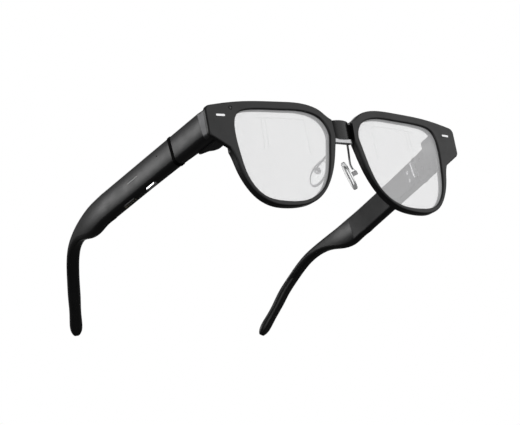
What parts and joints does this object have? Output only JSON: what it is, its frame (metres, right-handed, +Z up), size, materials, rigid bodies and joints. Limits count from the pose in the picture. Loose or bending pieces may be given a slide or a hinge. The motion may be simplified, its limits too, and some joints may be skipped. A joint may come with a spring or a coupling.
{
  "type": "smart glasses",
  "caption": "Black smart glasses with see-through display lenses, silicone nose pads and thick folding temples that hold the electronics.",
  "frame": {"origin": "centre of the bounding box's bottom: midway between the temples and between front and ear tips, on the plane that the rims and tips stand on", "axes": "+X to the right of someone facing the glasses, +Y from the lenses to the ear tips, +Z up"},
  "size_m": [0.1624, 0.1652, 0.0503],
  "materials": {
    "block_black": "satin",
    "board_green": "satin",
    "bridge_black": "satin",
    "button_metal": "satin",
    "carrier_black": "gloss",
    "cell_foil": "foil",
    "contact_gold": "polished",
    "cover_black": "satin",
    "engine_metal": "satin",
    "frame_black": "satin",
    "grille_metal": "satin",
    "guide_glass": "clear",
    "lens_glass": "clear",
    "pad_metal": "satin",
    "part_black": "matt",
    "rivet_silver": "polished",
    "satin_trim": "satin anodised",
    "seam_rubber": "matt",
    "silicone": "clear silicone",
    "smoked_window": "gloss",
    "steel": "satin",
    "temple_black": "satin"
  },
  "bodies": {
    "front": {"bridge_cover": "bridge_black", "end_block_cover_left": "block_black", "end_block_cover_right": "block_black", "end_block_shell_left": "block_black", "end_block_shell_right": "block_black", "front_frame": "frame_black", "front_leaf_screws_left": "steel", "front_leaf_screws_right": "steel", "hinge_front_leaf_left": "steel", "hinge_front_leaf_right": "steel", "hinge_pin_left": "steel", "hinge_pin_right": "steel", "lens_left": "lens_glass", "lens_right": "lens_glass", "light_engine_left": "engine_metal", "light_engine_right": "engine_metal", "nose_bracket": "pad_metal", "nose_pad_arm_left": "pad_metal", "nose_pad_arm_right": "pad_metal", "nose_pad_pin_left": "steel", "nose_pad_pin_right": "steel", "rivet_left": "rivet_silver", "rivet_right": "rivet_silver", "seam_ring_left": "seam_rubber", "seam_ring_right": "seam_rubber", "sensor_window": "smoked_window", "trim_band_left": "satin_trim", "trim_band_right": "satin_trim", "waveguide_left": "guide_glass", "waveguide_right": "guide_glass"},
    "right_temple": {"temple_shell_right": "temple_black", "temple_cover_right": "cover_black", "hinge_rear_leaf_right": "steel", "rear_leaf_screws_right": "steel", "battery_right": "cell_foil", "circuit_board_right": "board_green", "speaker_right": "part_black", "speaker_grille_right": "grille_metal", "tip_core_right": "steel", "button_switch": "part_black", "contact_carrier": "carrier_black", "charging_contacts": "contact_gold", "status_light": "smoked_window", "microphone": "part_black"},
    "left_temple": {"temple_shell_left": "temple_black", "temple_cover_left": "cover_black", "hinge_rear_leaf_left": "steel", "rear_leaf_screws_left": "steel", "battery_left": "cell_foil", "circuit_board_left": "board_green", "speaker_left": "part_black", "speaker_grille_left": "grille_metal", "tip_core_left": "steel"},
    "right_pad": {"nose_pad_right": "silicone"},
    "left_pad": {"nose_pad_left": "silicone"},
    "button": {"function_button": "button_metal"}
  },
  "joints": [
    {"name": "left_temple_fold", "type": "hinge", "parent": "front", "child": "left_temple", "pos_m": [0.06991, -0.04992, 0.03746], "axis": [0.0055, 0.0585, 0.9983], "range_deg": [0, 92]},
    {"name": "right_temple_fold", "type": "hinge", "parent": "front", "child": "right_temple", "pos_m": [-0.06991, -0.04992, 0.03746], "axis": [0.0055, -0.0585, -0.9983], "range_deg": [0, 80]},
    {"name": "left_pad_rock", "type": "hinge", "parent": "front", "child": "left_pad", "pos_m": [0.01058, -0.06931, 0.02246], "axis": [-0.4568, -0.7543, -0.4715], "range_deg": [-10, 10]},
    {"name": "right_pad_rock", "type": "hinge", "parent": "front", "child": "right_pad", "pos_m": [-0.01058, -0.06931, 0.02246], "axis": [-0.4568, 0.7543, 0.4715], "range_deg": [-10, 10]},
    {"name": "button_press", "type": "slide", "parent": "right_temple", "child": "button", "axis": [-0.0055, 0.0585, 0.9983], "range_m": [0, 0.00035], "stiffness_N_per_m": 1500}
  ]
}
